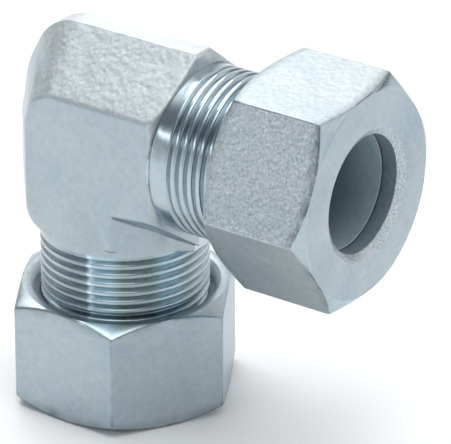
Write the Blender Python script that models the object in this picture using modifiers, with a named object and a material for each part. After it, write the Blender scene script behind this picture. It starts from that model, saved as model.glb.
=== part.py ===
"""Equal 90 degree cutting-ring tube fitting, size 18L (tube 18 mm, M26 x 1.5).

A forged elbow body has two screwed ends.  Each end holds a cutting ring and a
hexagon union nut, both shown finger-assembled without a tube.  Metres, +Z up.
The fitting stands on its inlet nut: the origin is the middle of its footprint,
level with that nut's outer face.  The outlet leg runs along +X and the inlet
leg along -Z, and their axes cross at CROSSING.

Every turned or threaded shape is drawn along its own +Z and hung on one of
two empties, whose Z axes are the leg axes, so both threads stay right-hand.
"""
import math

import bmesh
import bpy
from mathutils import Matrix

MM = 0.001                    # all sizes below are in millimetres

SEGMENTS = 36                 # facets round every turned shape
ARC_STEPS = 4                 # facets round a corner of the forging
OVERRUN = 1.0                 # how far a cutter passes an open end
WELD_DISTANCE = 0.004

# ------------------------------------------------------------------ the legs
TUBE_R = 18.0 / 2.0
LEG_LENGTH = 31.0             # L1, axis crossing to the end of the thread
TUBE_STOP = 23.5              # L2, axis crossing to the tube's stop
BORE_R = 15.0 / 2.0           # waterway
BORE_PAST_CROSSING = 6.8      # how far each drilling passes the crossing
SOCKET_R = TUBE_R + 0.05
CONE_MOUTH_R = 10.0           # 24 degree cone at the leg's end
CONE_SLOPE = math.tan(math.radians(24.0 / 2.0))

THREAD_PITCH = 1.5
THREAD_MAJOR_R = 26.0 / 2.0
THREAD_ROOT_R = 12.08
THREAD_START = 17.0           # lower edge of the first groove, from the crossing
THREAD_CREST_HALF = 0.094     # half the crest flat
FLANK_SLOPE = math.tan(math.radians(60.0 / 2.0))
GROOVE_OVERRUN = 0.1          # how far a groove cutter passes the crest
END_CHAMFER = 1.0

# --------------------------------------------------------------- forged body
ACROSS_FLATS_BODY = 24.0      # S1, between the two side flats
PARTING_HALF = 1.75           # half width of the trimmed parting band
FLAT_HALF = 7.8               # half width of a leg at the side flats
RIDGE_HALF = 15.7             # half width of a leg at the parting band
INLET_SHIFT = -1.9            # the forging stands this far off the inlet axis
HEEL_RIDGE = -17.95           # heel side of the parting band
OUTLET_END_RIDGE = 14.6       # end of the forging at the band; at the flats
OUTLET_END_FLAT = 12.9        # it ends nearer the crossing (draft)
INLET_END_RIDGE = 16.9
INLET_END_FLAT = 15.3

# Outlines of the forging about the axis crossing: x, z, corner radius.
# Both list the same corners in the same order, from the outlet's upper edge.
FLAT_OUTLINE = [
    (OUTLET_END_FLAT, FLAT_HALF, 0.0),
    (-5.2, FLAT_HALF, 3.0),
    (-8.6, 6.2, 2.5),
    (INLET_SHIFT - FLAT_HALF, 2.6, 4.0),
    (INLET_SHIFT - FLAT_HALF, -INLET_END_FLAT, 4.0),
    (INLET_SHIFT + FLAT_HALF, -INLET_END_FLAT, 0.0),
    (INLET_SHIFT + FLAT_HALF, -9.2, 0.0),
    (OUTLET_END_FLAT, -8.5, 0.0),
]
BAND_OUTLINE = [
    (OUTLET_END_RIDGE, RIDGE_HALF, 0.0),
    (-11.6, RIDGE_HALF, 8.0),
    (-16.4, 7.4, 18.0),
    (HEEL_RIDGE, -1.6, 26.0),
    (HEEL_RIDGE, -INLET_END_RIDGE, 4.5),
    (INLET_SHIFT + RIDGE_HALF, -INLET_END_RIDGE, 0.0),
    (INLET_SHIFT + RIDGE_HALF, -RIDGE_HALF, 0.0),
    (OUTLET_END_RIDGE, -RIDGE_HALF, 0.0),
]

# ----------------------------------------------------------------- union nut
NUT_LENGTH = 18.0
NUT_POSITION = 26.0           # mouth face, from the axis crossing
HEX_CORNER_R = 32.0 / 2.0 / math.cos(math.radians(30.0))  # 32 across flats
HEX_FACE_R = 15.9             # where the chamfer starts on the end faces
HEX_CHAMFER_DEPTH = 1.48      # depth of the chamfer at a corner
CROWN_MARGIN = 0.6            # how far the chamfer cutter passes the corners
NUT_CREST_R = 12.25           # inner radius of the nut's thread
NUT_ROOT_R = 13.15
NUT_ROOT_HALF = THREAD_CREST_HALF + 0.06  # half the flat at the groove's root
NUT_THREAD_DEPTH = 10.2       # end of the nut's thread, from the mouth
NUT_GROOVE_LEAD = 0.4         # the groove starts at most this far past the mouth
NUT_GROOVE_MARGIN = 0.9       # and stops at least this far before the thread's end
MOUTH_R = 14.6                # countersink at the mouth
TUBE_HOLE_R = TUBE_R + 0.1
TUBE_HOLE_DEPTH = 3.2
COUNTERSINK_R = 10.2          # at the tube hole's outer end
COUNTERSINK_DEPTH = 0.85
POCKET_R = 11.75              # chamber for the ring

# -------------------------------------------------------------- cutting ring
RING_LENGTH = 9.9
RING_POSITION = 30.5          # nose edge, from the axis crossing
RING_BORE_R = SOCKET_R

# r, z from the rear edge down the outside to the thin cutting nose
RING_PROFILE = [
    (RING_BORE_R, RING_LENGTH),
    (RING_BORE_R + 0.25, RING_LENGTH),
    (11.30, RING_LENGTH - 2.0),
    (11.30, 5.2),
    (10.85, 4.6),
    (10.40, 3.6),
    (9.93, 2.25),
    (9.45, 0.0),
    (RING_BORE_R, 0.0),
]

# ----------------------------------------------------------------- placement
# name: (turn about Y from +Z, start of the turned neck from the crossing,
#        angle of a nut corner about the leg's axis), angles in degrees
LEGS = {
    "outlet": (90.0, 12.7, 35.2),
    "inlet": (180.0, 15.1, 1.2),
}

# the whole part reaches from a corner of the inlet nut to the outlet nut's
# outer face, and the origin is its bottom centre
REACH = NUT_POSITION + NUT_LENGTH
BACK = HEX_CORNER_R * math.cos(math.radians(LEGS["inlet"][2]))
CROSSING = (-round((REACH - BACK) / 2.0, 2) * MM, 0.0, REACH * MM)
AXIS_ARROW_SIZE = 60.0


# ------------------------------------------------------------------- helpers
def clear_scene():
    for ob in list(bpy.data.objects):
        bpy.data.objects.remove(ob, do_unlink=True)


def collection(name):
    col = bpy.data.collections.new(name)
    bpy.context.scene.collection.children.link(col)
    return col


def metal(name, colour, roughness):
    mat = bpy.data.materials.new(name)
    mat.use_nodes = True
    bsdf = mat.node_tree.nodes["Principled BSDF"]
    bsdf.inputs["Base Color"].default_value = (*colour, 1.0)
    bsdf.inputs["Roughness"].default_value = roughness
    bsdf.inputs["Metallic"].default_value = 1.0
    mat.diffuse_color = (*colour, 1.0)
    return mat


def add_object(name, mesh, col, parent=None, mat=None):
    ob = bpy.data.objects.new(name, mesh)
    col.objects.link(ob)
    ob.parent = parent
    if mat is not None:
        mesh.materials.append(mat)
    return ob


def as_cutter(ob):
    ob.hide_render = True
    ob.display_type = "WIRE"
    return ob


def boolean(ob, operand, operation):
    mod = ob.modifiers.new(operand.name, "BOOLEAN")
    mod.operation = operation
    mod.solver = "EXACT"
    mod.object = operand


def weld(ob):
    """Close the slivers a Boolean leaves where two edges cross exactly."""
    mod = ob.modifiers.new("weld", "WELD")
    mod.merge_threshold = WELD_DISTANCE * MM


def mesh_from_bmesh(name, bm):
    mesh = bpy.data.meshes.new(name)
    bm.to_mesh(mesh)
    bm.free()
    return mesh


def profile_mesh(name, profile, closed):
    """Join (r, z) points in mm into a chain of edges in the XZ plane."""
    count = len(profile)
    edges = [(i, i + 1) for i in range(count - 1)]
    if closed:
        edges.append((count - 1, 0))
    mesh = bpy.data.meshes.new(name)
    mesh.from_pydata([(r * MM, 0.0, z * MM) for r, z in profile], edges, [])
    return mesh


def add_screw(ob, name):
    screw = ob.modifiers.new(name, "SCREW")
    screw.axis = "Z"
    screw.steps = screw.render_steps = SEGMENTS
    return screw


def turned(name, profile, col, parent, z=0.0, mat=None, closed=False):
    """Revolve (r, z) points, listed top to bottom on the outer side."""
    ob = add_object(name, profile_mesh(name, profile, closed), col, parent, mat)
    ob.location = (0.0, 0.0, z * MM)
    screw = add_screw(ob, "turn")
    screw.use_merge_vertices = True
    screw.merge_threshold = 0.00001
    return ob


def helical_cutter(name, profile, start, turns, col, parent):
    """Sweep a closed (r, z) profile up a right-hand helix of one pitch a
    turn.  The sweep's ends are capped, so the cutter is a closed solid."""
    outline = profile_mesh(name + "_profile", profile, closed=True)
    sweep = add_object(name + "_sweep", outline, col)
    screw = add_screw(sweep, "helix")
    screw.iterations = turns
    screw.screw_offset = THREAD_PITCH * MM
    screw.use_merge_vertices = False
    bpy.context.view_layer.update()
    depsgraph = bpy.context.evaluated_depsgraph_get()
    swept = bpy.data.meshes.new_from_object(sweep.evaluated_get(depsgraph))
    bpy.data.objects.remove(sweep, do_unlink=True)

    bm = bmesh.new()
    bm.from_mesh(swept)
    bmesh.ops.remove_doubles(bm, verts=bm.verts, dist=1e-7)
    bmesh.ops.holes_fill(bm, edges=[e for e in bm.edges if e.is_boundary])
    bmesh.ops.recalc_face_normals(bm, faces=bm.faces)
    bm.to_mesh(swept)
    bm.free()
    swept.name = name
    ob = add_object(name, swept, col, parent)
    ob.location = (0.0, 0.0, start * MM)
    return as_cutter(ob)


def unit_towards(x, z, target):
    dx, dz = target[0] - x, target[1] - z
    length = math.hypot(dx, dz)
    return dx / length, dz / length


def rounded_outline(corners):
    """Corners are (x, z, radius); each rounded one becomes ARC_STEPS + 1
    points on an arc tangent to both of its sides."""
    points = []
    for i, (x, z, radius) in enumerate(corners):
        if radius <= 0.0:
            points.append((x, z))
            continue
        in_x, in_z = unit_towards(x, z, corners[i - 1])
        out_x, out_z = unit_towards(x, z, corners[(i + 1) % len(corners)])
        half_angle = math.acos(in_x * out_x + in_z * out_z) / 2.0
        tangent = radius / math.tan(half_angle)
        mid_x, mid_z = in_x + out_x, in_z + out_z
        mid_length = math.hypot(mid_x, mid_z)
        centre_x = x + mid_x / mid_length * radius / math.sin(half_angle)
        centre_z = z + mid_z / mid_length * radius / math.sin(half_angle)
        first = math.atan2(z + in_z * tangent - centre_z, x + in_x * tangent - centre_x)
        last = math.atan2(z + out_z * tangent - centre_z, x + out_x * tangent - centre_x)
        # the short way round, whichever side of +-180 degrees the ends lie
        sweep = (last - first + math.pi) % (2.0 * math.pi) - math.pi
        for k in range(ARC_STEPS + 1):
            angle = first + sweep * k / ARC_STEPS
            points.append((centre_x + radius * math.cos(angle),
                           centre_z + radius * math.sin(angle)))
    return points


# ---------------------------------------------------------------- elbow body
def forged_block(name, col, mat):
    """Loft between the outline on the side flats and the wider outline on the
    parting band, whose points match one to one."""
    flat = rounded_outline(FLAT_OUTLINE)
    band = rounded_outline(BAND_OUTLINE)
    half = ACROSS_FLATS_BODY / 2.0
    levels = [(-half, flat), (-PARTING_HALF, band), (PARTING_HALF, band), (half, flat)]
    bm = bmesh.new()
    rings = [[bm.verts.new((x * MM, y * MM, z * MM)) for x, z in outline]
             for y, outline in levels]
    count = len(flat)
    for low, high in zip(rings, rings[1:]):
        for i in range(count):
            j = (i + 1) % count
            bm.faces.new((low[i], low[j], high[j], high[i]))
    bm.faces.new(rings[0])
    bm.faces.new(rings[-1])
    bmesh.ops.recalc_face_normals(bm, faces=bm.faces)
    block = add_object(name, mesh_from_bmesh(name, bm), col, None, mat)
    block.location = CROSSING
    return block


def thread_groove_profile():
    """Body groove: root flat and 60 degree flanks that pass the crest."""
    crest_gap = THREAD_PITCH / 2.0 - THREAD_CREST_HALF
    root = crest_gap - (THREAD_MAJOR_R - THREAD_ROOT_R) * FLANK_SLOPE
    outer_r = THREAD_MAJOR_R + GROOVE_OVERRUN
    outer = crest_gap + GROOVE_OVERRUN * FLANK_SLOPE
    return [(THREAD_ROOT_R, -root), (outer_r, -outer), (outer_r, outer), (THREAD_ROOT_R, root)]


def leg_stub(tag, neck_start, cutters, axis):
    """Turned neck and screwed end of one leg, with its helical groove."""
    stub = turned(tag + "_stub", [
        (0.0, LEG_LENGTH),
        (THREAD_MAJOR_R - END_CHAMFER, LEG_LENGTH),
        (THREAD_MAJOR_R, LEG_LENGTH - END_CHAMFER),
        (THREAD_MAJOR_R, neck_start),
        (0.0, neck_start),
    ], cutters, axis)
    # the groove runs out past the leg's end
    turns = math.ceil((LEG_LENGTH + THREAD_PITCH - THREAD_START) / THREAD_PITCH)
    groove = helical_cutter(tag + "_groove", thread_groove_profile(),
                            THREAD_START + THREAD_PITCH / 2.0, turns, cutters, axis)
    boolean(stub, groove, "DIFFERENCE")
    weld(stub)
    return as_cutter(stub)


def leg_bore(tag, cutters, axis):
    """Waterway, tube socket and 24 degree cone of one leg."""
    top = LEG_LENGTH + OVERRUN
    cone_start = LEG_LENGTH - (CONE_MOUTH_R - SOCKET_R) / CONE_SLOPE
    return as_cutter(turned(tag + "_bore", [
        (0.0, top),
        (CONE_MOUTH_R + OVERRUN * CONE_SLOPE, top),
        (SOCKET_R, cone_start),
        (SOCKET_R, TUBE_STOP),
        (BORE_R, TUBE_STOP),
        (BORE_R, -BORE_PAST_CROSSING),
        (0.0, -BORE_PAST_CROSSING),
    ], cutters, axis))


def elbow_body(parts, cutters, axes, mat):
    body = forged_block("elbow_body", parts, mat)
    for tag, (_, neck_start, _) in LEGS.items():
        boolean(body, leg_stub(tag, neck_start, cutters, axes[tag]), "UNION")
    # both bores come last, so that they also open the stubs
    for tag in LEGS:
        boolean(body, leg_bore(tag, cutters, axes[tag]), "DIFFERENCE")


# ----------------------------------------------------------------- union nut
def hex_blank(name, hex_angle, parts, axis, mat):
    bm = bmesh.new()
    # create_cone puts its first corner on +Y; hex_angle counts from +X
    spin = Matrix.Rotation(math.radians(hex_angle - 90.0), 4, "Z")
    lift = Matrix.Translation((0.0, 0.0, NUT_LENGTH * MM / 2.0))
    bmesh.ops.create_cone(bm, cap_ends=True, cap_tris=False, segments=6,
                          radius1=HEX_CORNER_R * MM, radius2=HEX_CORNER_R * MM,
                          depth=NUT_LENGTH * MM, matrix=lift @ spin)
    nut = add_object(name, mesh_from_bmesh(name, bm), parts, axis, mat)
    nut.location = (0.0, 0.0, NUT_POSITION * MM)
    return nut


def nut_crown(name, cutters, axis):
    """Double-coned disc that leaves the chamfers on the hexagon's corners."""
    slope = HEX_CHAMFER_DEPTH / (HEX_CORNER_R - HEX_FACE_R)
    rim_r = HEX_CORNER_R + CROWN_MARGIN
    rim_depth = (rim_r - HEX_FACE_R) * slope
    return as_cutter(turned(name + "_crown", [
        (0.0, NUT_LENGTH),
        (HEX_FACE_R, NUT_LENGTH),
        (rim_r, NUT_LENGTH - rim_depth),
        (rim_r, rim_depth),
        (HEX_FACE_R, 0.0),
        (0.0, 0.0),
    ], cutters, axis, z=NUT_POSITION))


def nut_inside(name, cutters, axis):
    """Tube hole, ring chamber, thread bore and mouth of the nut."""
    top = NUT_LENGTH + OVERRUN
    countersink_slope = (COUNTERSINK_R - TUBE_HOLE_R) / COUNTERSINK_DEPTH
    hole_end = NUT_LENGTH - TUBE_HOLE_DEPTH
    pocket_end = hole_end - (POCKET_R - TUBE_HOLE_R)
    return as_cutter(turned(name + "_inside", [
        (0.0, top),
        (COUNTERSINK_R + OVERRUN * countersink_slope, top),
        (TUBE_HOLE_R, NUT_LENGTH - COUNTERSINK_DEPTH),
        (TUBE_HOLE_R, hole_end),
        (POCKET_R, pocket_end),
        (POCKET_R, NUT_THREAD_DEPTH + NUT_CREST_R - POCKET_R),
        (NUT_CREST_R, NUT_THREAD_DEPTH),
        (NUT_CREST_R, MOUTH_R - NUT_CREST_R),
        (MOUTH_R + OVERRUN, -OVERRUN),
        (0.0, -OVERRUN),
    ], cutters, axis, z=NUT_POSITION))


def nut_groove(name, cutters, axis):
    """The nut's groove: it follows the body's ridge, half a pitch from the
    body's groove, with clearance on crest and flanks."""
    inner_r = NUT_CREST_R - GROOVE_OVERRUN
    inner = NUT_ROOT_HALF + (NUT_ROOT_R - inner_r) * FLANK_SLOPE
    profile = [(inner_r, -inner), (NUT_ROOT_R, -NUT_ROOT_HALF),
               (NUT_ROOT_R, NUT_ROOT_HALF), (inner_r, inner)]
    ridge = THREAD_START + THREAD_PITCH
    skipped = math.floor((NUT_POSITION + NUT_GROOVE_LEAD - ridge) / THREAD_PITCH)
    first = ridge + skipped * THREAD_PITCH
    last = NUT_POSITION + NUT_THREAD_DEPTH - NUT_GROOVE_MARGIN
    turns = math.floor((last - first) / THREAD_PITCH)
    return helical_cutter(name + "_groove", profile, first, turns, cutters, axis)


def union_nut(name, hex_angle, parts, cutters, axis, mat):
    nut = hex_blank(name, hex_angle, parts, axis, mat)
    boolean(nut, nut_crown(name, cutters, axis), "INTERSECT")
    boolean(nut, nut_inside(name, cutters, axis), "DIFFERENCE")
    boolean(nut, nut_groove(name, cutters, axis), "DIFFERENCE")
    weld(nut)


# ------------------------------------------------------------------ assembly
def leg_axis(tag, turn, parts):
    """Empty at the axis crossing whose +Z points out along the leg."""
    empty = bpy.data.objects.new(tag + "_axis", None)
    empty.rotation_euler = (0.0, math.radians(turn), 0.0)
    empty.location = CROSSING
    empty.empty_display_type = "SINGLE_ARROW"
    empty.empty_display_size = AXIS_ARROW_SIZE * MM
    parts.objects.link(empty)
    return empty


def build():
    clear_scene()
    parts = collection("compression_fitting")
    cutters = collection("cutters")

    zinc_forged = metal("zinc_forged", colour=(0.62, 0.68, 0.71), roughness=0.42)
    zinc_turned = metal("zinc_turned", colour=(0.60, 0.67, 0.71), roughness=0.30)
    ring_steel = metal("ring_steel", colour=(0.42, 0.46, 0.48), roughness=0.34)

    axes = {tag: leg_axis(tag, turn, parts) for tag, (turn, _, _) in LEGS.items()}
    elbow_body(parts, cutters, axes, zinc_forged)
    for tag, (_, _, hex_angle) in LEGS.items():
        union_nut(tag + "_nut", hex_angle, parts, cutters, axes[tag], zinc_turned)
        turned(tag + "_cutting_ring", RING_PROFILE, parts, axes[tag],
               z=RING_POSITION, mat=ring_steel, closed=True)
    bpy.context.view_layer.update()


build()
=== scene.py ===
"""Looks for an equal elbow compression fitting: a forged body, two nuts, two cutting rings.

The leg axes cross at CROSS.  The outlet leg points along +X and the inlet leg
down -Z; the forging's two flats face -Y and +Y.  Pieces are drawn in
millimetres.  In a leg's frame local +Z is the leg's axis, pointing outwards,
and u is the distance along it from CROSS.
"""
import math
import bmesh
import bpy
from mathutils import Matrix, Vector, noise

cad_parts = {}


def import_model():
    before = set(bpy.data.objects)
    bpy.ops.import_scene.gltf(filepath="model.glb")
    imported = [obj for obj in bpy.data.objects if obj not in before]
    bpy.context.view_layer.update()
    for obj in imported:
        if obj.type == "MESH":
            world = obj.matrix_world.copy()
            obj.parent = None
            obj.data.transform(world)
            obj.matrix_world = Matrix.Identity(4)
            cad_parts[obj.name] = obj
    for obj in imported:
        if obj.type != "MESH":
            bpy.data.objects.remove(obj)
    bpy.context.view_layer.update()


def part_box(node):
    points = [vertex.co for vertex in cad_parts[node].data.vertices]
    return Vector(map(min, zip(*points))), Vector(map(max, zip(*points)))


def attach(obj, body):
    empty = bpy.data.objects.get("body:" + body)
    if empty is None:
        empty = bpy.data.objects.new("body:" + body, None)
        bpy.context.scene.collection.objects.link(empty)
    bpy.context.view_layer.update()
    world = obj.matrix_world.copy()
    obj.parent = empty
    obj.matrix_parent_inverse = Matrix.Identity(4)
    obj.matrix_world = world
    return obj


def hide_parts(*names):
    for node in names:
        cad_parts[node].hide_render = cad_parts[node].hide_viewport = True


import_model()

MM = 0.001

# ---------------------------------------------------------- places in the frame
ring_low, ring_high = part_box("outlet_cutting_ring")
inlet_ring_low, inlet_ring_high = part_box("inlet_cutting_ring")
nut_low, nut_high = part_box("outlet_nut")
CROSS = Vector(((inlet_ring_low.x + inlet_ring_high.x) / 2, (ring_low.y + ring_high.y) / 2,
                (ring_low.z + ring_high.z) / 2))
LEG_FRAMES = {
    "outlet": Matrix.Translation(CROSS) @ Matrix.Rotation(math.radians(90), 4, "Y"),
    "inlet": Matrix.Translation(CROSS) @ Matrix.Rotation(math.radians(180), 4, "Y"),
}
LEG_AXES = {"outlet": "X", "inlet": "Z"}
NUT_AT = (nut_low.x - CROSS.x) / MM
NUT_LENGTH = (nut_high.x - nut_low.x) / MM
RING_AT = (ring_low.x - CROSS.x) / MM
RING_LENGTH = (ring_high.x - ring_low.x) / MM

# ------------------------------------------------------- shared dimensions, mm
PITCH = 1.5
RIDGE_AT = 17.0        # u of a thread ridge's middle, at angle 0
FLANK_SLOPE = 1.732    # of a 60 degree thread
MAJOR_R = 13.0
ROOT_R = 12.08
LEG_END = 31.0
TUBE_R = 9.05          # the tube socket, and the inside of the cutting ring


# ------------------------------------------------------------------ mesh tools
class Shell:
    """Collects rings of points and the faces between them."""

    def __init__(self):
        self.verts, self.faces, self.mats = [], [], []

    def ring(self, points):
        first = len(self.verts)
        self.verts.extend(points)
        return list(range(first, first + len(points)))

    def circle(self, angles, radius, u):
        return self.ring([(radius * math.cos(a), radius * math.sin(a), u) for a in angles])

    def face(self, indices, mat):
        self.faces.append(tuple(indices))
        self.mats.append(mat)

    def bridge(self, ring, following, mat):
        count = len(ring)
        for i in range(count):
            j = (i + 1) % count
            self.face((ring[i], ring[j], following[j], following[i]), mat)

    def skin(self, stations):
        """Bridges stations of (ring, slot of the strip that leads to it)."""
        for (ring, _), (following, mat) in zip(stations, stations[1:]):
            self.bridge(ring, following, mat)

    def mesh(self, name, matrix):
        bm = bmesh.new()
        verts = [bm.verts.new((x * MM, y * MM, z * MM)) for x, y, z in self.verts]
        for indices, mat in zip(self.faces, self.mats):
            bm.faces.new([verts[i] for i in indices]).material_index = mat
        bmesh.ops.remove_doubles(bm, verts=bm.verts, dist=2e-7)
        if any(face.calc_area() < 1e-16 for face in bm.faces):
            bmesh.ops.dissolve_degenerate(bm, dist=1e-7, edges=bm.edges)
        bmesh.ops.recalc_face_normals(bm, faces=bm.faces)
        if bm.calc_volume(signed=True) < 0:
            bmesh.ops.reverse_faces(bm, faces=bm.faces)
        bm.transform(matrix)
        mesh = bpy.data.meshes.new(name)
        bm.to_mesh(mesh)
        bm.free()
        return mesh


def even_angles(count):
    return [2 * math.pi * i / count for i in range(count)]


def new_object(name, mesh, slots=()):
    for mat in slots:
        mesh.materials.append(mat)
    ob = bpy.data.objects.new(name, mesh)
    bpy.context.scene.collection.objects.link(ob)
    return ob


def finish_piece(ob, body, node):
    """Shades a piece smooth between sharp edges and tells the frame about it."""
    ob.data.shade_smooth()
    ob.data.set_sharp_from_angle(angle=math.radians(32))
    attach(ob, body)
    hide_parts(node)


# --------------------------------------------------------------------- threads
# Rows of one turn, mm from the ridge's middle; closest where the profile bends.
PHASES = [-0.75, -0.70, -0.64, -0.58, -0.50, -0.40, -0.33, -0.28, -0.23, -0.17, -0.10, -0.04,
          0.04, 0.10, 0.17, 0.23, 0.28, 0.33, 0.40, 0.50, 0.58, 0.64, 0.70]


def soft_positive(x, rounding):
    """max(x, 0) with its corner rounded."""
    return 0.5 * (x + math.sqrt(x * x + rounding * rounding))


def ridge_depth(from_middle, crest_half, depth, crest_rounding=0.07, root_rounding=0.10):
    """How far below the crest the thread lies, from_middle mm off a ridge's middle."""
    fall = (soft_positive((from_middle - crest_half) * FLANK_SLOPE, crest_rounding)
            - soft_positive(-crest_half * FLANK_SLOPE, crest_rounding))
    return depth - soft_positive(depth - fall, root_rounding)


def thread_patch(shell, angles, start, end, radius, mat):
    """Skin from u = start to end whose rows follow the helix, so crests stay crisp.

    radius(u, from_middle) is the skin's radius, from_middle mm off a ridge's middle.
    """
    base = RIDGE_AT + math.floor((start - PITCH - RIDGE_AT) / PITCH) * PITCH
    rows = []
    turn = 0
    while base + turn * PITCH + PHASES[0] < end + PITCH:
        rows.extend(base + turn * PITCH + phase for phase in PHASES)
        turn += 1
    columns = []
    for angle in angles:
        lead = PITCH * angle / (2 * math.pi)
        points = []
        for row in rows:
            u = min(max(row + lead, start), end)
            turns = (u - RIDGE_AT - lead) / PITCH
            r = radius(u, abs(turns - round(turns)) * PITCH)
            points.append((r * math.cos(angle), r * math.sin(angle), u))
        columns.append(shell.ring(points))
    for i, column in enumerate(columns):
        following = columns[(i + 1) % len(columns)]
        # the last column meets the first one turn further on
        skip = len(PHASES) if i == len(columns) - 1 else 0
        for j in range(len(rows) - 1 - skip):
            shell.face((column[j], following[j + skip], following[j + skip + 1], column[j + 1]),
                       mat)


# ---------------------------------------------------------------- shader tools
BLACK = (0.0, 0.0, 0.0)
WHITE = (1.0, 1.0, 1.0)


def grey(value):
    return (value, value, value)


class Nodes:
    """A cleared node tree with one shader on its output, and short ways to add nodes.

    Any value may be a number, a tuple or the output socket that feeds it.
    """

    def __init__(self, owner, shader="BsdfPrincipled", output="OutputMaterial"):
        owner.use_nodes = True
        self.tree = owner.node_tree
        self.tree.nodes.clear()
        out = self.new(output)
        self.shader = self.new(shader)
        self.feed(out.inputs[0], self.shader.outputs[0])

    def feed(self, socket, value):
        if isinstance(value, bpy.types.NodeSocket):
            self.tree.links.new(value, socket)
        else:
            socket.default_value = value

    def new(self, kind, **inputs):
        node = self.tree.nodes.new("ShaderNode" + kind)
        for name, value in inputs.items():
            self.feed(node.inputs[name], value)
        return node

    def maths(self, operation, first, second, clamp=False):
        node = self.new("Math")
        node.operation = operation
        node.use_clamp = clamp
        self.feed(node.inputs[0], first)
        self.feed(node.inputs[1], second)
        return node.outputs[0]

    def times(self, first, second, clamp=False):
        return self.maths("MULTIPLY", first, second, clamp)

    def plus(self, first, second):
        return self.maths("ADD", first, second)

    def dot(self, first, second):
        node = self.new("VectorMath")
        node.operation = "DOT_PRODUCT"
        self.feed(node.inputs[0], first)
        self.feed(node.inputs[1], second)
        return node.outputs["Value"]

    def noise(self, vector, scale, detail=2.0, roughness=0.5, distortion=0.0):
        node = self.new("TexNoise", Vector=vector, Scale=scale, Detail=detail,
                        Roughness=roughness, Distortion=distortion)
        return node.outputs["Fac"]

    def ramp(self, factor, stops):
        """Stops are (position, colour)."""
        node = self.new("ValToRGB")
        elements = node.color_ramp.elements
        while len(elements) < len(stops):
            elements.new(0.5)
        for element, (position, colour) in zip(elements, stops):
            element.position = position
            element.color = (*colour, 1)
        self.feed(node.inputs[0], factor)
        return node.outputs[0]

    def step(self, factor, low, high):
        """Black below low, white above high."""
        return self.ramp(factor, [(low, BLACK), (high, WHITE)])

    def mix(self, factor, first, second, blend="MIX"):
        node = self.new("Mix")
        node.data_type = "RGBA"
        node.blend_type = blend
        self.feed(node.inputs[0], factor)
        for socket, colour in ((node.inputs[6], first), (node.inputs[7], second)):
            self.feed(socket, (*colour, 1.0) if isinstance(colour, tuple) else colour)
        return node.outputs[2]


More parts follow.
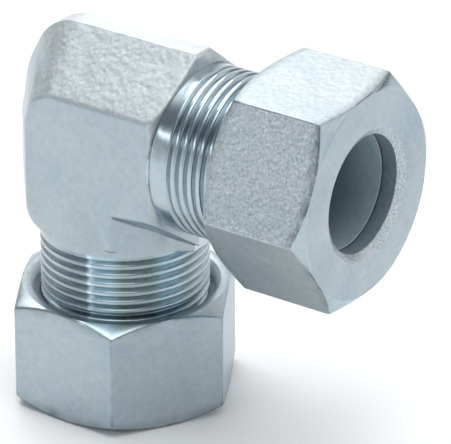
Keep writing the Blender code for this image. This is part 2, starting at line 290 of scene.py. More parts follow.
# --------------------------------------------------------- zinc-plated surfaces
class Zinc(Nodes):
    """Clear-passivated zinc plate, built up in layers on its colour and roughness."""

    RELIEF = 0.00006       # metres of bump at full grain
    LATHE_RELIEF = 0.12    # share of it that turning marks get

    def __init__(self, mat, colour, tint, roughness):
        """Base tone, drifting slowly from colour to tint, with a fine mottle."""
        super().__init__(mat)
        self.place = self.new("TexCoord").outputs["Object"]
        drift = self.noise(self.place, scale=85.0, detail=3.0, roughness=0.55, distortion=0.4)
        fine = self.noise(self.place, scale=900.0, detail=4.0, roughness=0.6)
        mottle = self.ramp(fine, [(0.3, (0.30, 0.34, 0.37)), (0.7, (0.90, 0.93, 0.95))])
        self.base = self.mix(self.step(drift, 0.34, 0.66), colour, tint)
        self.base = self.mix(0.10, self.base, mottle)
        self.rough = self.plus(self.times(fine, 0.10), roughness - 0.05)

    def roughen(self, where, amount):
        self.rough = self.plus(self.rough, self.times(where, amount))

    def multiply_base(self, factor, colour):
        self.base = self.mix(factor, self.base, colour, "MULTIPLY")

    def relief(self, height, strength, depth):
        bump = self.new("Bump", Strength=strength, Distance=self.RELIEF * depth, Height=height)
        self.feed(self.shader.inputs["Normal"], bump.outputs[0])

    def add_grain(self, depth, scale, contrast):
        """Pitted skin of a shot-blasted forging."""
        big = self.noise(self.place, scale=scale * 0.55, distortion=0.2)
        small = self.noise(self.place, scale=scale * 1.4, detail=3.0, roughness=0.6)
        cells = self.new("TexVoronoi", Vector=self.place, Scale=scale * 0.8)
        cells.feature = "SMOOTH_F1"
        pits = self.times(cells.outputs["Distance"], 0.9)
        height = self.plus(self.times(big, 0.55), self.plus(self.times(small, 0.35), pits))
        spots = self.ramp(small, [(0.36, (0.55, 0.58, 0.60)), (0.52, WHITE), (0.7, grey(1.25))])
        self.multiply_base(contrast, spots)
        self.roughen(big, 0.12)
        self.relief(height, min(1.0, 0.25 + depth), depth)

    def add_turning(self, depth, axis, painted_reflections):
        """Fine rings left by turning about axis, and streaks along it, which paint reflections
        into the colour where bands are given.
        """
        split = self.new("SeparateXYZ", Vector=self.place).outputs
        other, centre = ("Z", CROSS.z) if axis == "X" else ("X", CROSS.x)
        angle = self.maths("ARCTAN2", split["Y"], self.maths("SUBTRACT", split[other], centre))
        wrapped = self.new("CombineXYZ", X=self.times(split[axis], 9000.0),
                           Y=self.times(angle, 1.3))
        lines = self.noise(wrapped.outputs[0], scale=1.0, roughness=0.55)
        self.relief(self.times(lines, depth), 1.0, self.LATHE_RELIEF)
        self.roughen(lines, 0.06)
        self.multiply_base(0.16, self.ramp(lines, [(0.35, (0.36, 0.40, 0.43)), (0.62, WHITE)]))
        # painted reflection: the bands lay softbox highlights and dark reflections into the colour
        # round the axis
        if painted_reflections:
            turn = self.plus(self.times(angle, 0.5 / math.pi), 0.5)
            self.multiply_base(1.0, self.ramp(turn, painted_reflections))

    def add_scratches(self, amount):
        stretched = self.new("Mapping", Vector=self.place, Rotation=(0.3, 0.9, 0.5),
                             Scale=(60.0, 2600.0, 300.0))
        lines = self.noise(stretched.outputs[0], scale=1.0, roughness=0.6, distortion=0.6)
        marks = self.step(lines, 0.60, 0.70)
        self.roughen(marks, 0.10 * amount)
        self.base = self.mix(self.times(marks, 0.12 * amount), self.base, (0.86, 0.90, 0.92))

    def add_dark_edges(self, amount):
        """Darkens edges, found where a rounded normal leaves the true one."""
        bevel = self.new("Bevel", Radius=0.00045)
        bevel.samples = 6
        true_normal = self.new("NewGeometry").outputs["Normal"]
        leaving = self.maths("SUBTRACT", 1.0, self.dot(bevel.outputs[0], true_normal), True)
        # darker, patchy lines along the rounded edges, slightly smoother there
        edge_mask = self.times(leaving, 14.0 * amount, True)
        patchy = self.step(self.noise(self.place, scale=420.0, roughness=0.6), 0.42, 0.62)
        dark = self.mix(patchy, (0.22, 0.27, 0.30), (0.46, 0.52, 0.55))
        self.base = self.mix(edge_mask, self.base, dark)
        self.rough = self.maths("SUBTRACT", self.rough, self.times(edge_mask, 0.08))

    def add_corner_darkening(self, amount):
        """Broken dark lines along the sharp corners, found from their pointiness."""
        corner = self.step(self.new("NewGeometry").outputs["Pointiness"], 0.508, 0.535)
        breaks = self.noise(self.place, scale=260.0, detail=3.0, roughness=0.6)
        broken = self.ramp(breaks, [(0.40, grey(0.15)), (0.58, WHITE)])
        dark_lines = self.times(self.times(corner, broken), amount, True)
        self.base = self.mix(dark_lines, self.base, (0.10, 0.13, 0.15))
        self.roughen(corner, 0.15 * amount)


def zinc(name, colour, tint, roughness, metal=1.0, grain=0.0, grain_scale=1500.0,
         grain_contrast=0.0, lathe=0.0, axis="X", painted_reflections=None, scratches=0.0, dark_edges=0.0,
         corner_darkening=0.0):
    """A zinc material; grain and lathe each set the relief, so use only one."""
    mat = bpy.data.materials.new(name)
    plate = Zinc(mat, colour, tint, roughness)
    if grain:
        plate.add_grain(grain, grain_scale, grain_contrast)
    if lathe:
        plate.add_turning(lathe, axis, painted_reflections)
    if scratches:
        plate.add_scratches(scratches)
    if dark_edges:
        plate.add_dark_edges(dark_edges)
    if corner_darkening:
        plate.add_corner_darkening(corner_darkening)
    inputs = plate.shader.inputs
    plate.feed(inputs["Metallic"], metal)
    if metal < 0.5:
        plate.feed(inputs["Specular IOR Level"], 0.12)
    plate.feed(inputs["Base Color"], plate.base)
    plate.feed(inputs["Roughness"], plate.rough)
    mat.diffuse_color = (*colour, 1)
    return mat


def zinc_pair(prefix, colour, tint, roughness, **layers):
    """One turned material for each leg, about that leg's axis."""
    return {leg: zinc(f"{prefix}_{leg}", colour, tint, roughness, axis=axis, **layers)
            for leg, axis in LEG_AXES.items()}


BLUE = (0.345, 0.430, 0.480)
PALE = (0.405, 0.468, 0.500)

# Painted reflections along the inlet leg, softbox highlights and dark reflections laid into the
# colour as streaks: turn about the axis (0 to 1), tone.
INLET_PAINTED_REFLECTIONS = [
    (0.20, WHITE), (0.247, (0.72, 0.74, 0.76)), (0.273, (0.72, 0.74, 0.76)),
    (0.280, grey(1.7)), (0.290, (1.02, 1.12, 1.18)), (0.322, (1.0, 1.10, 1.15)),
    (0.345, (0.78, 0.80, 0.78)), (0.400, (0.80, 0.82, 0.80)), (0.425, (1.02, 1.12, 1.18)),
    (0.455, (1.02, 1.12, 1.18)), (0.485, (0.9, 0.9, 0.88)), (0.53, WHITE)]

# the body
forged_mat = zinc("forged_zinc", colour=(0.50, 0.555, 0.575), tint=(0.575, 0.62, 0.63),
                  roughness=0.44, grain=1.0, grain_contrast=0.28, dark_edges=0.6)
heel_mat = zinc("forged_zinc_heel", colour=(0.46, 0.53, 0.57), tint=(0.53, 0.59, 0.62),
                roughness=0.38, grain=0.45, grain_scale=1300.0, grain_contrast=0.12,
                dark_edges=0.4)
flat_mat = zinc("side_flat_zinc", colour=BLUE, tint=PALE, roughness=0.30, grain=0.10,
                grain_contrast=0.06, scratches=0.5, dark_edges=0.5)
band_mat = zinc("parting_band_zinc", colour=(0.56, 0.61, 0.63), tint=(0.63, 0.67, 0.69),
                roughness=0.34, grain=0.35, grain_contrast=0.15, dark_edges=0.4)
turned_mats = {
    "outlet": zinc("turned_zinc_outlet", colour=(0.40, 0.49, 0.54), tint=(0.46, 0.54, 0.58),
                   roughness=0.17, lathe=1.0, axis="X"),
    # the inlet's turned colour carries painted reflections as streaks along the leg
    "inlet": zinc("turned_zinc_inlet_painted_reflections", colour=(0.38, 0.46, 0.50), tint=(0.44, 0.51, 0.54),
                  roughness=0.26, lathe=1.0, axis="Z", painted_reflections=INLET_PAINTED_REFLECTIONS),
}
bore_mats = zinc_pair("bore", colour=(0.145, 0.21, 0.24), tint=(0.165, 0.23, 0.26),
                      roughness=0.70, lathe=0.35, metal=0.0)

# the nuts
nut_thread_mats = zinc_pair("nut_thread", colour=(0.40, 0.48, 0.52), tint=(0.46, 0.53, 0.56),
                            roughness=0.28, lathe=1.0, metal=0.85)
nut_rough_mat = zinc("nut_forged_side", colour=(0.46, 0.54, 0.575), tint=(0.53, 0.595, 0.62),
                     roughness=0.25, grain=1.9, grain_scale=2000.0, grain_contrast=0.58,
                     corner_darkening=0.95)
nut_other_mat = zinc("nut_other_sides", colour=(0.385, 0.448, 0.475),
                     tint=(0.445, 0.497, 0.515), roughness=0.36, grain=0.7,
                     grain_contrast=0.15, corner_darkening=0.7)
nut_smooth_mat = zinc("nut_smooth_side", colour=BLUE, tint=PALE, roughness=0.30, grain=0.15,
                      grain_contrast=0.08, scratches=0.6, corner_darkening=0.7)
sink_mat = zinc("countersink", colour=(0.40, 0.47, 0.50), tint=(0.50, 0.56, 0.58),
                roughness=0.30, grain=1.4, grain_scale=2300.0, grain_contrast=0.7)
nut_face_mats = zinc_pair("nut_face", colour=BLUE, tint=PALE, roughness=0.26, lathe=0.8,
                          scratches=0.5, dark_edges=0.4)

# the cutting rings
ring_mat = zinc("ring_steel", colour=(0.255, 0.355, 0.405), tint=(0.295, 0.395, 0.445),
                roughness=0.65, lathe=0.4, axis="X", metal=0.0)
# painted highlight: the ring's rear chamfer band is given a lighter colour so that it shows as a
# light line inside the dark hole
ring_edge_highlight_mat = zinc("ring_rear_edge_painted_highlight", colour=(0.33, 0.42, 0.465), tint=(0.37, 0.46, 0.50),
                     roughness=0.45, metal=0.0)


# ------------------------------------------------------------------ the forging
FORGED, FLAT, BAND, TURNED_X, BORE_X, TURNED_Z, BORE_Z, HEEL = range(8)
BODY_SLOTS = [forged_mat, flat_mat, band_mat, turned_mats["outlet"], bore_mats["outlet"],
              turned_mats["inlet"], bore_mats["inlet"], heel_mat]

# Corners of the flats and of the parting band, mm from CROSS: x, z, corner radius.
# Both lists run the same way round, corner for corner.
FLAT_CORNERS = [
    (12.9, 7.8, 0.35), (-5.2, 7.8, 3.0), (-8.6, 6.2, 2.5), (-9.7, 2.6, 4.0),
    (-9.7, -15.3, 4.0), (5.9, -15.3, 0.35), (5.9, -9.2, 0.6), (12.9, -8.5, 0.35)]
BAND_CORNERS = [
    (14.6, 15.7, 0.6), (-11.6, 15.7, 8.0), (-16.4, 7.4, 18.0), (-17.95, -1.6, 26.0),
    (-17.95, -16.9, 4.5), (13.8, -16.9, 0.2), (13.8, -15.7, 0.2), (14.6, -15.7, 0.2)]
SIDE_POINTS = [30, 3, 4, 16, 24, 4, 6, 22]    # points inside the side after each corner
ARC_STEPS = 8
SLOPE_STEPS = 20
EDGE_STEPS = 4

FLAT_HALF = 12.0       # y of the flats
BAND_HALF = 1.75       # y of the parting band's edges
EDGE_ROUND = 0.55      # reach of the rounding round each flat
HOLDING_LOOP = 0.35    # from that rounding to the loop that bounds the flat


def round_corner(before, corner, after):
    """The ARC_STEPS + 1 points of a rounded corner."""
    x, z, radius = corner
    back_x, back_z = before[0] - x, before[1] - z
    on_x, on_z = after[0] - x, after[1] - z
    back_length, on_length = math.hypot(back_x, back_z), math.hypot(on_x, on_z)
    back_x, back_z = back_x / back_length, back_z / back_length
    on_x, on_z = on_x / on_length, on_z / on_length
    half = math.acos(max(-1.0, min(1.0, back_x * on_x + back_z * on_z))) / 2.0
    reach = radius / math.tan(half)
    middle_x, middle_z = back_x + on_x, back_z + on_z
    middle_length = math.hypot(middle_x, middle_z)
    centre_x = x + middle_x / middle_length * radius / math.sin(half)
    centre_z = z + middle_z / middle_length * radius / math.sin(half)
    start = math.atan2(z + back_z * reach - centre_z, x + back_x * reach - centre_x)
    end = math.atan2(z + on_z * reach - centre_z, x + on_x * reach - centre_x)
    sweep = (end - start + math.pi) % (2 * math.pi) - math.pi
    return [(centre_x + radius * math.cos(start + sweep * k / ARC_STEPS),
             centre_z + radius * math.sin(start + sweep * k / ARC_STEPS))
            for k in range(ARC_STEPS + 1)]


def dense_outline(corners):
    """Closed outline of (x, z) with rounded corners and SIDE_POINTS along the sides."""
    count = len(corners)
    arcs = [round_corner(corners[i - 1], corners[i], corners[(i + 1) % count])
            for i in range(count)]
    outline = []
    for i in range(count):
        outline.extend(arcs[i])
        (x0, z0), (x1, z1) = arcs[i][-1], arcs[(i + 1) % count][0]
        for k in range(1, SIDE_POINTS[i] + 1):
            t = k / (SIDE_POINTS[i] + 1)
            outline.append((x0 + (x1 - x0) * t, z0 + (z1 - z0) * t))
    return outline


def offset_corners(corners, distance):
    """The same corners with every side moved inwards; a corner's radius
    shrinks with it where the outline is convex and grows where it is hollow."""
    pairs = list(zip(corners, corners[1:] + corners[:1]))
    area = sum(x0 * z1 - x1 * z0 for (x0, z0, _), (x1, z1, _) in pairs)
    turn = 1.0 if area > 0 else -1.0
    sides = []
    for (x0, z0, _), (x1, z1, _) in pairs:
        length = math.hypot(x1 - x0, z1 - z0)
        dx, dz = (x1 - x0) / length, (z1 - z0) / length
        sides.append((x0 - dz * turn * distance, z0 + dx * turn * distance, dx, dz))
    moved = []
    for i, (_, _, radius) in enumerate(corners):
        x0, z0, dx0, dz0 = sides[i - 1]
        x1, z1, dx1, dz1 = sides[i]
        cross = dx0 * dz1 - dz0 * dx1
        t = ((x1 - x0) * dz1 - (z1 - z0) * dx1) / cross
        radius = max(0.02, radius - distance) if cross * turn > 0 else radius + distance
        moved.append((x0 + dx0 * t, z0 + dz0 * t, radius))
    return moved


def run_out(points):
    """Stretches the slopes and ridges past the flats at the outlet's end."""
    stretched = []
    for x, y, z in points:
        s = min(1.0, max(0.0, (FLAT_HALF - abs(y)) / (FLAT_HALF - BAND_HALF)))
        far = 1.1 * (1.0 - math.exp(-s / 0.12)) - 0.6 * s ** 1.5
        stretched.append((x + far * max(0.0, (x - 6.0) / (6.9 + 1.7 * s)), y, z))
    return stretched


def slope_point(band, flat, edge_y, t):
    """Point on the straight slope, t of the way from the band's edge to the flat."""
    (band_x, band_z), (flat_x, flat_z) = band, flat
    return (band_x + (flat_x - band_x) * t, edge_y + (FLAT_HALF - edge_y) * t,
            band_z + (flat_z - band_z) * t)


def undulated(band, flat, point, t, sign):
    """The forging's skin undulates by a few hundredths of a millimetre."""
    x, y, z = point
    dx, dz = flat[0] - band[0], flat[1] - band[1]
    length = math.hypot(dx, dz)
    fade = min(1.0, 6 * t, 6 * (1 - t) + 0.1)
    bump = 0.045 * fade * noise.fractal(Vector((x * 0.55, y * 0.55 * sign, z * 0.55)), 1.0, 2.0, 3)
    return (x + -dx / length * bump, sign * (y + 0.5 * bump), z + -dz / length * bump)


def block_side(shell, sign):
    """Stations from the band's edge to the flat's holding loop, on the sign side of y."""
    flat = dense_outline(FLAT_CORNERS)
    band = dense_outline(BAND_CORNERS)
    rounding_end = dense_outline(offset_corners(FLAT_CORNERS, EDGE_ROUND))
    loop = dense_outline(offset_corners(FLAT_CORNERS, EDGE_ROUND + HOLDING_LOOP))

    # the band's edge wavers
    edge_ys = [BAND_HALF + 0.16 * noise.noise(Vector((x * 0.35, z * 0.35, 3.0 * sign)))
               for x, z in band]
    edge = [(x, sign * y, z) for (x, z), y in zip(band, edge_ys)]
    stations = [(shell.ring(run_out(edge)), BAND)]

    slopes = []
    for band_at, flat_at, edge_y in zip(band, flat, edge_ys):
        across = math.hypot(flat_at[0] - band_at[0], flat_at[1] - band_at[1])
        slope_end = 1.0 - EDGE_ROUND / math.hypot(across, FLAT_HALF - BAND_HALF)
        slopes.append((band_at, flat_at, edge_y, slope_end))
    for k in range(1, SLOPE_STEPS + 1):
        points = []
        for band_at, flat_at, edge_y, slope_end in slopes:
            t = slope_end * k / SLOPE_STEPS
            point = slope_point(band_at, flat_at, edge_y, t)
            points.append(undulated(band_at, flat_at, point, t, sign))
        stations.append((shell.ring(run_out(points)), FORGED))

    # a quadratic curve rounds the slope into the flat
    for k in range(1, EDGE_STEPS + 1):
        t = k / EDGE_STEPS
        w0, w1, w2 = (1 - t) ** 2, 2 * t * (1 - t), t * t
        points = []
        for (band_at, flat_at, edge_y, slope_end), (end_x, end_z) in zip(slopes, rounding_end):
            x, y, z = slope_point(band_at, flat_at, edge_y, slope_end)
            points.append((w0 * x + w1 * flat_at[0] + w2 * end_x,
                           sign * (w0 * y + w1 * FLAT_HALF + w2 * FLAT_HALF),
                           w0 * z + w1 * flat_at[1] + w2 * end_z))
        stations.append((shell.ring(run_out(points)), FORGED if k < 3 else FLAT))
    stations.append((shell.ring([(x, sign * FLAT_HALF, z) for x, z in loop]), FLAT))
    return stations


def forged_block():
    shell = Shell()
    front = block_side(shell, -1.0)
    back = block_side(shell, 1.0)
    shell.skin(front)
    shell.skin(back)
    shell.bridge(front[0][0], back[0][0], BAND)
    shell.face(front[-1][0], FLAT)
    shell.face(back[-1][0], FLAT)
    # the corner between the legs and the heel at the -X end are smoother
    for i, (face, mat) in enumerate(zip(shell.faces, shell.mats)):
        if mat != FORGED:
            continue
        x = sum(shell.verts[v][0] for v in face) / len(face)
        z = sum(shell.verts[v][2] for v in face) / len(face)
        if x > 5.0 and z < -7.0:
            shell.mats[i] = FLAT
        elif x < -9.6 and z < 11.5:
            shell.mats[i] = HEEL
    return shell


# --------------------------------------------------------------- the body's legs
# Necks from inside the forging outwards: u, radius.
OUTLET_NECK = [(12.3, 11.92), (12.9, 12.0), (13.3, 12.14), (13.65, 12.42), (13.95, 12.80),
               (14.12, 12.96), (14.3, 13.0), (15.1, 13.0), (15.7, 13.0)]
INLET_NECK = [(8.3, 11.93), (9.7, 12.13), (11.1, 12.33), (12.5, 12.53), (13.9, 12.73),
              (15.0, 12.88), (15.9, 12.98)]
THREAD_START = 16.3
RUN_IN = 0.9           # the thread grows to full depth over this length
BARE_FROM = 25.2       # crests fatten over the 1 mm beyond this
END_CHAMFER = 1.0
CREST_HALF = 0.094
BARE_CREST_EXTRA = 0.24
BARE_ROUNDING_EXTRA = 0.11

PASSAGE_R = 7.5
SOCKET_FLOOR = 23.5
CONE_R = 10.0          # the 12 degree seat's radius at LEG_END
CONE_SLOPE = math.tan(math.radians(12))
# Bore from outside the leg's end to past the crossing of the axes: u, radius.
BORE_PROFILE = [
    (LEG_END + 1.0, 11.6), (LEG_END - 0.35, CONE_R),
    (LEG_END - (CONE_R - TUBE_R) / CONE_SLOPE, TUBE_R), (SOCKET_FLOOR, TUBE_R),
    (SOCKET_FLOOR, PASSAGE_R), (-6.0, PASSAGE_R), (-6.8, 6.9)]


def stub_radius(u, from_middle):
    grown = min(1.0, max(0.0, (u - THREAD_START) / RUN_IN))
    grown = grown * grown * (3 - 2 * grown)
    # plating has rounded and thickened the crests outside the nut
    bare = 1.0 - min(1.0, max(0.0, (u - BARE_FROM) / 1.0))
    radius = MAJOR_R - grown * ridge_depth(
        from_middle, CREST_HALF + BARE_CREST_EXTRA * bare, MAJOR_R - ROOT_R,
        crest_rounding=0.07 + BARE_ROUNDING_EXTRA * bare)
    return min(radius, MAJOR_R - max(0.0, u - (LEG_END - END_CHAMFER)))


def stub(neck, neck_slot, thread_slot, cove=0.0):
    """Neck and thread of a leg; cove adds a hollow flare towards the forging's ridges."""
    shell = Shell()
    angles = even_angles(180)
    stations = []
    for u, r in neck + [(THREAD_START, MAJOR_R)]:
        flare = cove * max(0.0, (THREAD_START - u) / (THREAD_START - neck[0][0])) ** 1.7
        radii = [r + flare * abs(math.cos(a)) ** 11 for a in angles]
        points = [(radius * math.cos(a), radius * math.sin(a), u)
                  for radius, a in zip(radii, angles)]
        stations.append((shell.ring(points), neck_slot))
    shell.face(stations[0][0], neck_slot)
    shell.skin(stations)
    thread_patch(shell, angles, THREAD_START, LEG_END, stub_radius, thread_slot)
    shell.face(shell.circle(angles, stub_radius(LEG_END, 0.0), LEG_END), thread_slot)
    return shell


def bore(slot):
    shell = Shell()
    angles = even_angles(120)
    stations = [(shell.circle(angles, r, u), slot) for u, r in BORE_PROFILE]
    shell.face(stations[0][0], slot)
    shell.skin(stations)
    shell.face(stations[-1][0], slot)
    return shell


def elbow_body():
    """The forging joined to both stubs, with both bores cut out of it."""
    outlet, inlet = LEG_FRAMES["outlet"], LEG_FRAMES["inlet"]

    def part(name, shell, matrix):
        return new_object(name, shell.mesh(name, matrix), BODY_SLOTS)

    block = part("block", forged_block(), Matrix.Translation(CROSS))
    tools = [
        (part("stub_x", stub(OUTLET_NECK, TURNED_X, TURNED_X, cove=2.1), outlet), "UNION"),
        (part("stub_z", stub(INLET_NECK, FLAT, TURNED_Z), inlet), "UNION"),
        (part("bore_x", bore(BORE_X), outlet), "DIFFERENCE"),
        (part("bore_z", bore(BORE_Z), inlet), "DIFFERENCE"),
    ]
    for tool, operation in tools:
        boolean = block.modifiers.new(tool.name, "BOOLEAN")
        boolean.operation = operation
        boolean.solver = "EXACT"
        boolean.object = tool
    bpy.context.view_layer.update()
    depsgraph = bpy.context.evaluated_depsgraph_get()
    mesh = bpy.data.meshes.new_from_object(block.evaluated_get(depsgraph))
    for ob in [block] + [tool for tool, _ in tools]:
        bpy.data.objects.remove(ob, do_unlink=True)
    mesh.name = "elbow_body_skin"
    body = new_object("elbow_body_skin", mesh)
    finish_piece(body, "elbow_body", "elbow_body")


# --------------------------------------------------------------------- the nuts
SIDE, FACE, INNER, TURNED, HOLE, SINK, OTHER_SIDE = range(7)

NUT_LOW = NUT_AT                 # u of the mouth's face
NUT_TOP = NUT_AT + NUT_LENGTH    # u of the outer face
HEX_HALF = 16.0                  # half the width across the hexagon's sides
HEX_R = HEX_HALF / math.cos(math.radians(30))
HEX_FILLET = 0.45
NUT_FACE_R = 15.9
CHAMFER_SLOPE = 1.48 / (HEX_R - NUT_FACE_R)
EDGE = 0.16                      # size of the rolled edge between chamfer and side
SIDE_STEPS = 10

MOUTH_R = 14.6
MOUTH_LIP = 0.06
NUT_THREAD_START = NUT_LOW + 0.9
NUT_THREAD_END = NUT_LOW + 10.2
NUT_CREST_R = 12.25
NUT_ROOT_R = 13.15
NUT_CREST_HALF = 0.154
CHAMBER_R = 11.75
HOLE_R = 9.1
HOLE_AT = NUT_TOP - 3.2
SINK_R = 10.45

# Degrees from a hexagon corner: either side of it, then across the side that follows.
CORNER_DEGREES = [0.0, 0.25, 0.5, 0.72, 1.0, 1.6, 2.6]
SIDE_DEGREES = range(5, 56, 2)

# From the thread's end through the ring's chamber and the tube hole to the
# outer face: u, radius, slot of the strip that leads there.
NUT_BORE = [
    (NUT_THREAD_END, NUT_CREST_R, HOLE), (NUT_THREAD_END + 0.5, CHAMBER_R, HOLE),
    (HOLE_AT - 2.65, CHAMBER_R, HOLE), (HOLE_AT - 0.05, 9.15, HOLE),
    (HOLE_AT + 0.08, HOLE_R, HOLE), (NUT_TOP - 0.95, HOLE_R, HOLE),
    (NUT_TOP - 0.82, 9.13, SINK), (NUT_TOP - 0.05, 10.3, SINK), (NUT_TOP, SINK_R, SINK)]


def hex_radius(angle, corner):
    """Distance from the axis to the hexagon, with rounded corners."""
    from_corner = (angle - corner + math.pi / 6) % (math.pi / 3) - math.pi / 6
    centre = HEX_R - HEX_FILLET / math.sin(math.radians(60))
    limit = math.atan2(HEX_FILLET * 0.5, centre + HEX_FILLET * math.cos(math.radians(30)))
    if abs(from_corner) < limit:
        return (centre * math.cos(from_corner)
                + math.sqrt(HEX_FILLET ** 2 - (centre * math.sin(from_corner)) ** 2))
    return HEX_HALF / math.cos(math.pi / 6 - abs(from_corner))


def nut_angles(corner):
    """Angles of the nut's columns, closest at the hexagon's corners."""
    angles = set()
    for k in range(6):
        here = corner + k * math.pi / 3
        for degrees in CORNER_DEGREES:
            angles.add(round((here + math.radians(degrees)) % (2 * math.pi), 6))
            angles.add(round((here - math.radians(degrees)) % (2 * math.pi), 6))
        for degrees in SIDE_DEGREES:
            angles.add(round((here + math.radians(degrees)) % (2 * math.pi), 6))
    return sorted(angles)


def chamfer_drop(radius):
    return max(0.0, (radius - NUT_FACE_R) * CHAMFER_SLOPE)


def edge_u(end, inward, radius, roll):
    """Height of the side's edge near one end, roll rolled edges below the chamfer."""
    return end + inward * chamfer_drop(radius) + inward * EDGE * roll


def nut_thread_radius(u, from_middle):
    cone = MOUTH_R - (u - NUT_LOW - MOUTH_LIP)
    fade = min(1.0, max(0.0, (NUT_THREAD_END - u) / 1.2))
    depth = NUT_ROOT_R - NUT_CREST_R
    thread = NUT_CREST_R + fade * (depth - ridge_depth(from_middle, NUT_CREST_HALF, depth))
    return max(cone, thread)


def nut_outside(shell, angles, corner):
    """Stations from the outer face over the sides to the mouth's countersink."""
    radii = [hex_radius(a, corner) for a in angles]
    top, low = (NUT_TOP, -1.0), (NUT_LOW, 1.0)    # u of an end, direction into the nut

    def chamfer_ring(place, back):
        """On the chamfer, back mm in from the hexagon's side."""
        end, inward = place
        points = []
        for a, r in zip(angles, radii):
            r = max(r - back, NUT_FACE_R)
            points.append((r * math.cos(a), r * math.sin(a), end + inward * chamfer_drop(r)))
        return shell.ring(points), TURNED

    def side_ring(u_of, inset=0.0):
        points = [((r - inset) * math.cos(a), (r - inset) * math.sin(a), u_of(r))
                  for a, r in zip(angles, radii)]
        return shell.ring(points), SIDE

    def circle(radius, u, slot):
        return shell.circle(angles, radius, u), slot

    stations = [
        circle(SINK_R, NUT_TOP, FACE),
        circle(12.6, NUT_TOP, FACE),
        circle(NUT_FACE_R - 0.25, NUT_TOP, FACE),
        circle(NUT_FACE_R, NUT_TOP - 0.012, FACE),
        chamfer_ring(top, back=0.5),
        chamfer_ring(top, back=EDGE),
        side_ring(lambda r: edge_u(*top, r, roll=0.45), inset=EDGE * 0.28),
        side_ring(lambda r: edge_u(*top, r, roll=1.3)),
    ]
    for k in range(1, SIDE_STEPS):
        t = k / SIDE_STEPS
        stations.append(side_ring(
            lambda r: edge_u(*top, r, roll=1.3) * (1 - t) + edge_u(*low, r, roll=1.3) * t))
    stations += [
        side_ring(lambda r: edge_u(*low, r, roll=1.3)),
        side_ring(lambda r: edge_u(*low, r, roll=0.45), inset=EDGE * 0.28),
        chamfer_ring(low, back=EDGE),
        chamfer_ring(low, back=0.5),
        circle(NUT_FACE_R, NUT_LOW + 0.012, TURNED),
        circle(NUT_FACE_R - 0.2, NUT_LOW, FACE),
        circle(MOUTH_R + 0.15, NUT_LOW, FACE),
        circle(MOUTH_R, NUT_LOW + MOUTH_LIP, INNER),
        circle(MOUTH_R - 0.84, NUT_THREAD_START, INNER),
    ]
    return stations


def nut(leg, corner_degrees, side_mat, other_side_mat):
    """A nut; side_mat goes on two opposite sides, other_side_mat on the other four."""
    corner = math.radians(corner_degrees)
    angles = nut_angles(corner)
    shell = Shell()
    shell.skin(nut_outside(shell, angles, corner))
    thread_patch(shell, angles, NUT_THREAD_START, NUT_THREAD_END, nut_thread_radius, INNER)
    shell.skin([(shell.circle(angles, r, u), slot) for u, r, slot in NUT_BORE])
    for i, (face, mat) in enumerate(zip(shell.faces, shell.mats)):
        if mat != SIDE:
            continue
        x = sum(shell.verts[v][0] for v in face)
        y = sum(shell.verts[v][1] for v in face)
        side = int(((math.atan2(y, x) - corner) % (2 * math.pi)) / (math.pi / 3))
        if side not in (0, 3):
            shell.mats[i] = OTHER_SIDE
    name = f"{leg}_nut_skin"
    slots = [side_mat, nut_face_mats[leg], nut_thread_mats[leg], turned_mats[leg],
             bore_mats[leg], sink_mat, other_side_mat]
    ob = new_object(name, shell.mesh(name, LEG_FRAMES[leg]), slots)
    finish_piece(ob, f"{leg}_nut", f"{leg}_nut")


# ------------------------------------------------------------ the cutting rings
# Closed section: nose with its two edges, thicker body, 45 degree rear seat.
# Distance along the leg from RING_AT, radius.
RING_PROFILE = [
    (0.0, 9.08), (0.0, 9.40), (0.06, 9.45), (1.9, 9.84), (2.25, 9.90), (2.35, 9.86),
    (2.9, 9.98), (3.6, 10.36), (4.6, 10.80), (5.15, 11.22), (5.3, 11.29),
    (7.75, 11.29), (7.97, 11.22), (RING_LENGTH + 0.05, 9.25), (RING_LENGTH + 0.12, 9.19),
    (RING_LENGTH + 0.11, 9.15), (RING_LENGTH - 0.06, TUBE_R), (2.6, TUBE_R), (2.45, 9.10),
    (2.3, TUBE_R), (0.06, TUBE_R)]


def cutting_ring(leg):
    shell = Shell()
    angles = even_angles(160)
    rings = [shell.circle(angles, r, RING_AT + along) for along, r in RING_PROFILE]
    for (along, _), ring, following in zip(RING_PROFILE, rings, rings[1:] + rings[:1]):
        # slot 1, on the rear chamfer band, carries the painted highlight
        shell.bridge(ring, following, 1 if along > RING_LENGTH else 0)
    name = f"{leg}_cutting_ring_skin"
    ob = new_object(name, shell.mesh(name, LEG_FRAMES[leg]), [ring_mat, ring_edge_highlight_mat])
    finish_piece(ob, f"{leg}_ring", f"{leg}_cutting_ring")


# -------------------------------------------------------- floor, light and view
def floor():
    mesh = bpy.data.meshes.new("floor")
    bm = bmesh.new()
    bmesh.ops.create_circle(bm, cap_ends=True, segments=64, radius=6.0)
    bm.to_mesh(mesh)
    bm.free()
    mat = bpy.data.materials.new("pale_floor")
    nodes = Nodes(mat)
    mottling = nodes.noise(nodes.new("TexCoord").outputs["Object"], scale=6.0)
    tone = nodes.ramp(mottling, [(0.3, (0.95, 0.955, 0.96)), (0.7, (0.965, 0.97, 0.975))])
    inputs = nodes.shader.inputs
    nodes.feed(inputs["Base Color"], tone)
    nodes.feed(inputs["Roughness"], 0.85)
    nodes.feed(inputs["Specular IOR Level"], 0.1)
    ob = new_object("floor", mesh, [mat])
    ob.location = (0, 0, -0.0002)


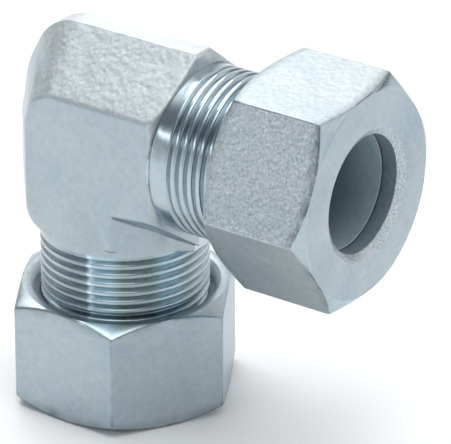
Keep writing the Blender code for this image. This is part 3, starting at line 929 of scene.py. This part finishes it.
# Sky tones from straight down (0) over the horizon (0.5) to straight up (1):
# a dim room on the camera's side, a white sweep behind the fitting.
FRONT_SKY = [(0.0, grey(0.9)), (0.50, (0.88, 0.90, 0.91)), (0.56, (0.70, 0.72, 0.74)),
             (0.63, (0.52, 0.54, 0.56)), (0.72, (0.20, 0.22, 0.24)),
             (0.90, (0.20, 0.22, 0.24)), (0.97, grey(1.6))]
BEHIND_SKY = [(0.0, grey(0.9)), (0.50, grey(1.10)), (0.75, grey(1.0)), (0.90, grey(0.7)),
              (0.97, grey(1.6))]
BEHIND_DIRECTION = (0.45, 0.89, 0.0)
DARK_PATCH_DIRECTION = (0.331, 0.942, 0.05)
DARK_PATCH = [(0.950, WHITE), (0.978, (0.22, 0.24, 0.25))]    # cosine off its middle, tone


def world():
    studio = bpy.data.worlds.new("studio")
    bpy.context.scene.world = studio
    nodes = Nodes(studio, shader="Background", output="OutputWorld")

    def to_unit(value):
        """From -1..1 to 0..1."""
        return nodes.plus(nodes.times(value, 0.5), 0.5)

    view = nodes.new("TexCoord").outputs["Generated"]
    height = to_unit(nodes.new("SeparateXYZ", Vector=view).outputs["Z"])
    behind = nodes.step(to_unit(nodes.dot(view, BEHIND_DIRECTION)), 0.40, 0.66)
    sky = nodes.mix(behind, nodes.ramp(height, FRONT_SKY), nodes.ramp(height, BEHIND_SKY))
    patch = nodes.ramp(nodes.dot(view, DARK_PATCH_DIRECTION), DARK_PATCH)
    nodes.feed(nodes.shader.inputs[0], nodes.mix(1.0, sky, patch, "MULTIPLY"))
    nodes.feed(nodes.shader.inputs[1], 1.0)


def softbox(name, azimuth, elevation, distance, width, height, radiance):
    """A rectangular light, metres, seen from CROSS at that bearing (degrees from +X)."""
    data = bpy.data.lights.new(name, "AREA")
    data.shape = "RECTANGLE"
    data.size, data.size_y = width, height
    data.energy = radiance * math.pi * width * height
    a, e = math.radians(azimuth), math.radians(elevation)
    bearing = Vector((math.cos(a) * math.cos(e), math.sin(a) * math.cos(e), math.sin(e)))
    ob = new_object(name, data)
    ob.location = CROSS + bearing * distance
    ob.rotation_euler = bearing.to_track_quat("Z", "Y").to_euler()


def camera(azimuth, elevation, roll, distance, lens, cross_on_sensor):
    """Looks from azimuth degrees off -Y, towards +X; cross_on_sensor is where
    CROSS falls, mm right of and above the middle of the sensor."""
    data = bpy.data.cameras.new("camera")
    data.sensor_fit = "HORIZONTAL"
    data.sensor_width = 36.0
    data.lens = lens
    data.clip_start, data.clip_end = 0.05, 20.0
    a, e = math.radians(azimuth), math.radians(elevation)
    back = Vector((math.sin(a) * math.cos(e), -math.cos(a) * math.cos(e), math.sin(e)))
    right = Vector((math.cos(a), math.sin(a), 0.0))
    view = Matrix((right, back.cross(right), back)).transposed()
    turn = Matrix.Rotation(math.radians(roll), 3, "Z")
    ray = Vector((*cross_on_sensor, -lens)).normalized()
    swing = ray.rotation_difference(Vector((0.0, 0.0, -1.0))).to_matrix()
    ob = new_object("camera", data)
    ob.matrix_world = (Matrix.Translation(CROSS + back * distance)
                       @ (view @ swing @ turn.transposed()).to_4x4())
    bpy.context.scene.camera = ob


elbow_body()
nut("outlet", corner_degrees=35.2, side_mat=nut_rough_mat, other_side_mat=nut_other_mat)
nut("inlet", corner_degrees=1.2, side_mat=nut_smooth_mat, other_side_mat=nut_smooth_mat)
cutting_ring("outlet")
cutting_ring("inlet")

floor()
world()
softbox("key_softbox", azimuth=150, elevation=48, distance=0.75, width=0.56, height=0.38,
        radiance=3.2)
softbox("front_strip", azimuth=-122, elevation=26, distance=0.9, width=0.46, height=0.075,
        radiance=3.6)
softbox("overhead", azimuth=-60, elevation=82, distance=1.2, width=0.7, height=0.7,
        radiance=1.7)
camera(azimuth=36.209, elevation=24.919, roll=0.760, distance=0.6747, lens=356.272284,
       cross_on_sensor=(-8.0341463, 7.9487361))
scene = bpy.context.scene
scene.view_settings.view_transform = "Standard"
scene.view_settings.look = "None"
